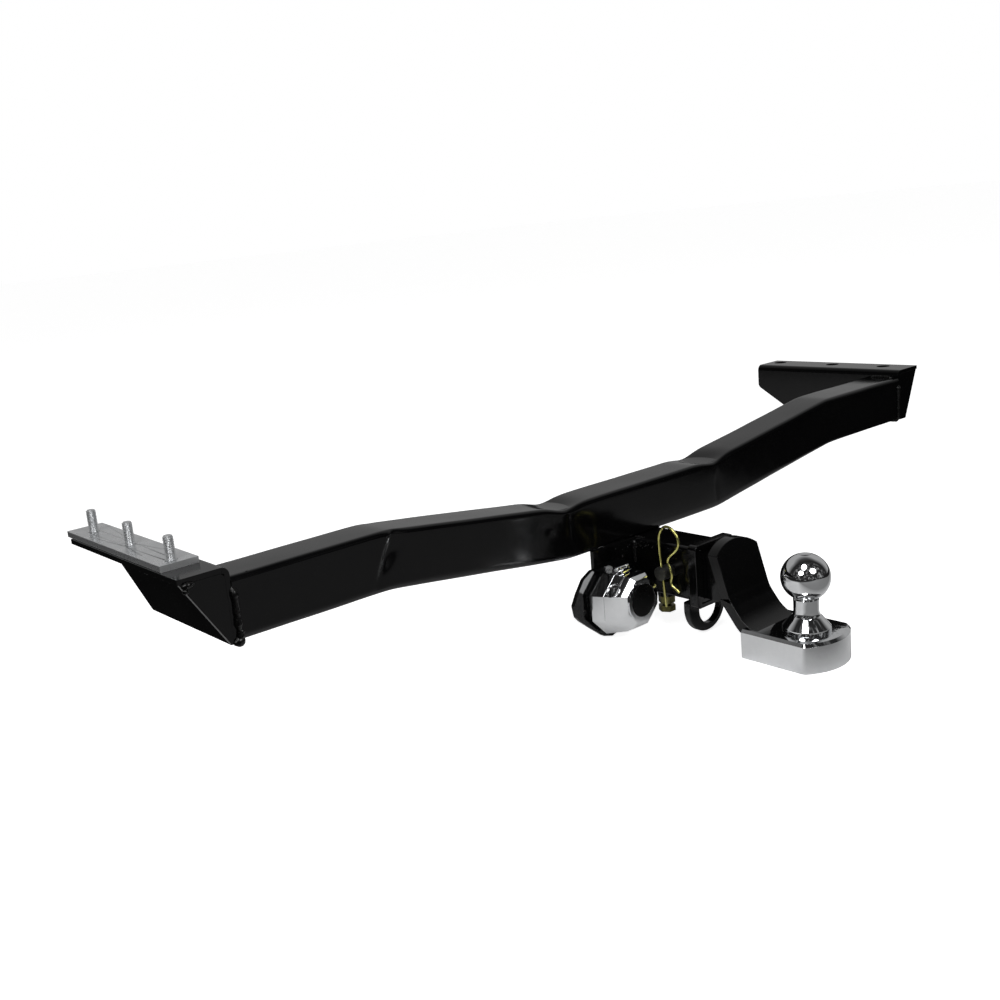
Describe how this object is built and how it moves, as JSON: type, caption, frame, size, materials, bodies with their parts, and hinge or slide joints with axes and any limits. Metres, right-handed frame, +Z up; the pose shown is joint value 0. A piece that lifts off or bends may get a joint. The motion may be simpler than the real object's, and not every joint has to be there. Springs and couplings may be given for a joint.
{
  "type": "removable tow bar",
  "caption": "Bolt-on vehicle tow bar: bent cross beam on two end brackets, receiver with pinned drop drawbar, chromed tow ball, safety-chain loop and lidded trailer socket.",
  "frame": {"origin": "midway between the two end brackets, level with the tops of their flanges and with their rear ends: the plane that meets the vehicle", "axes": "+X along the cross beam towards the bracket with bare holes, +Y forward under the vehicle (away from the ball), +Z up"},
  "size_m": [1.176, 0.495, 0.2368],
  "materials": {
    "black_paint": "gloss black paint on rolled and welded steel",
    "weld_bead": "gloss black paint over a rippled weld bead",
    "zinc_plate": "bright zinc plating, slightly clouded",
    "yellow_zinc": "yellow passivated zinc with a green cast",
    "chrome": "bright polished chrome",
    "black_plastic": "moulded black plastic",
    "contact_brass": "plain brass"
  },
  "bodies": {
    "tow_bar": {"cross_beam": "black_paint", "left_bracket": "black_paint", "right_bracket": "black_paint", "left_gusset": "black_paint", "right_gusset": "black_paint", "stud_plate": "zinc_plate", "mounting_bolts": "zinc_plate", "receiver_tube": "black_paint", "receiver_collar": "black_paint", "chain_loop": "black_paint", "drawbar_shank": "black_paint", "drawbar_bar": "black_paint", "end_cover": "chrome", "tow_ball": "chrome", "ball_washer": "zinc_plate", "ball_nut": "zinc_plate", "ball_spacer": "black_plastic", "clamp_bolt": "yellow_zinc", "clamp_nut": "yellow_zinc", "clamp_boss": "black_paint", "socket_plate": "black_paint", "socket_flange": "black_paint", "socket_body": "chrome", "socket_insert": "black_plastic", "socket_contacts": "contact_brass", "socket_screws": "zinc_plate", "lid_hinge_pin": "zinc_plate", "left_weld": "weld_bead", "right_weld": "weld_bead", "receiver_welds": "weld_bead", "carrier_weld": "weld_bead", "drawbar_weld": "weld_bead"},
    "lid": {"socket_lid": "chrome", "lid_disc": "black_plastic"},
    "pin": {"hitch_pin": "zinc_plate"},
    "clip": {"retaining_clip": "yellow_zinc"}
  },
  "joints": [
    {"name": "lid_hinge", "type": "hinge", "parent": "tow_bar", "child": "lid", "pos_m": [-0.0756, -0.0265, -0.1224], "axis": [-1, 0, 0], "range_deg": [0, 95], "stiffness_Nm_per_rad": 0.1, "springref_deg": -34.38},
    {"name": "pin_turn", "type": "hinge", "parent": "tow_bar", "child": "pin", "pos_m": [0, -0.0505, -0.1345], "axis": [1, 0, 0], "range_deg": [-10, 90]},
    {"name": "clip_pull", "type": "slide", "parent": "pin", "child": "clip", "axis": [0, 0.0906, 0.9959], "range_m": [0, 0.052]}
  ]
}
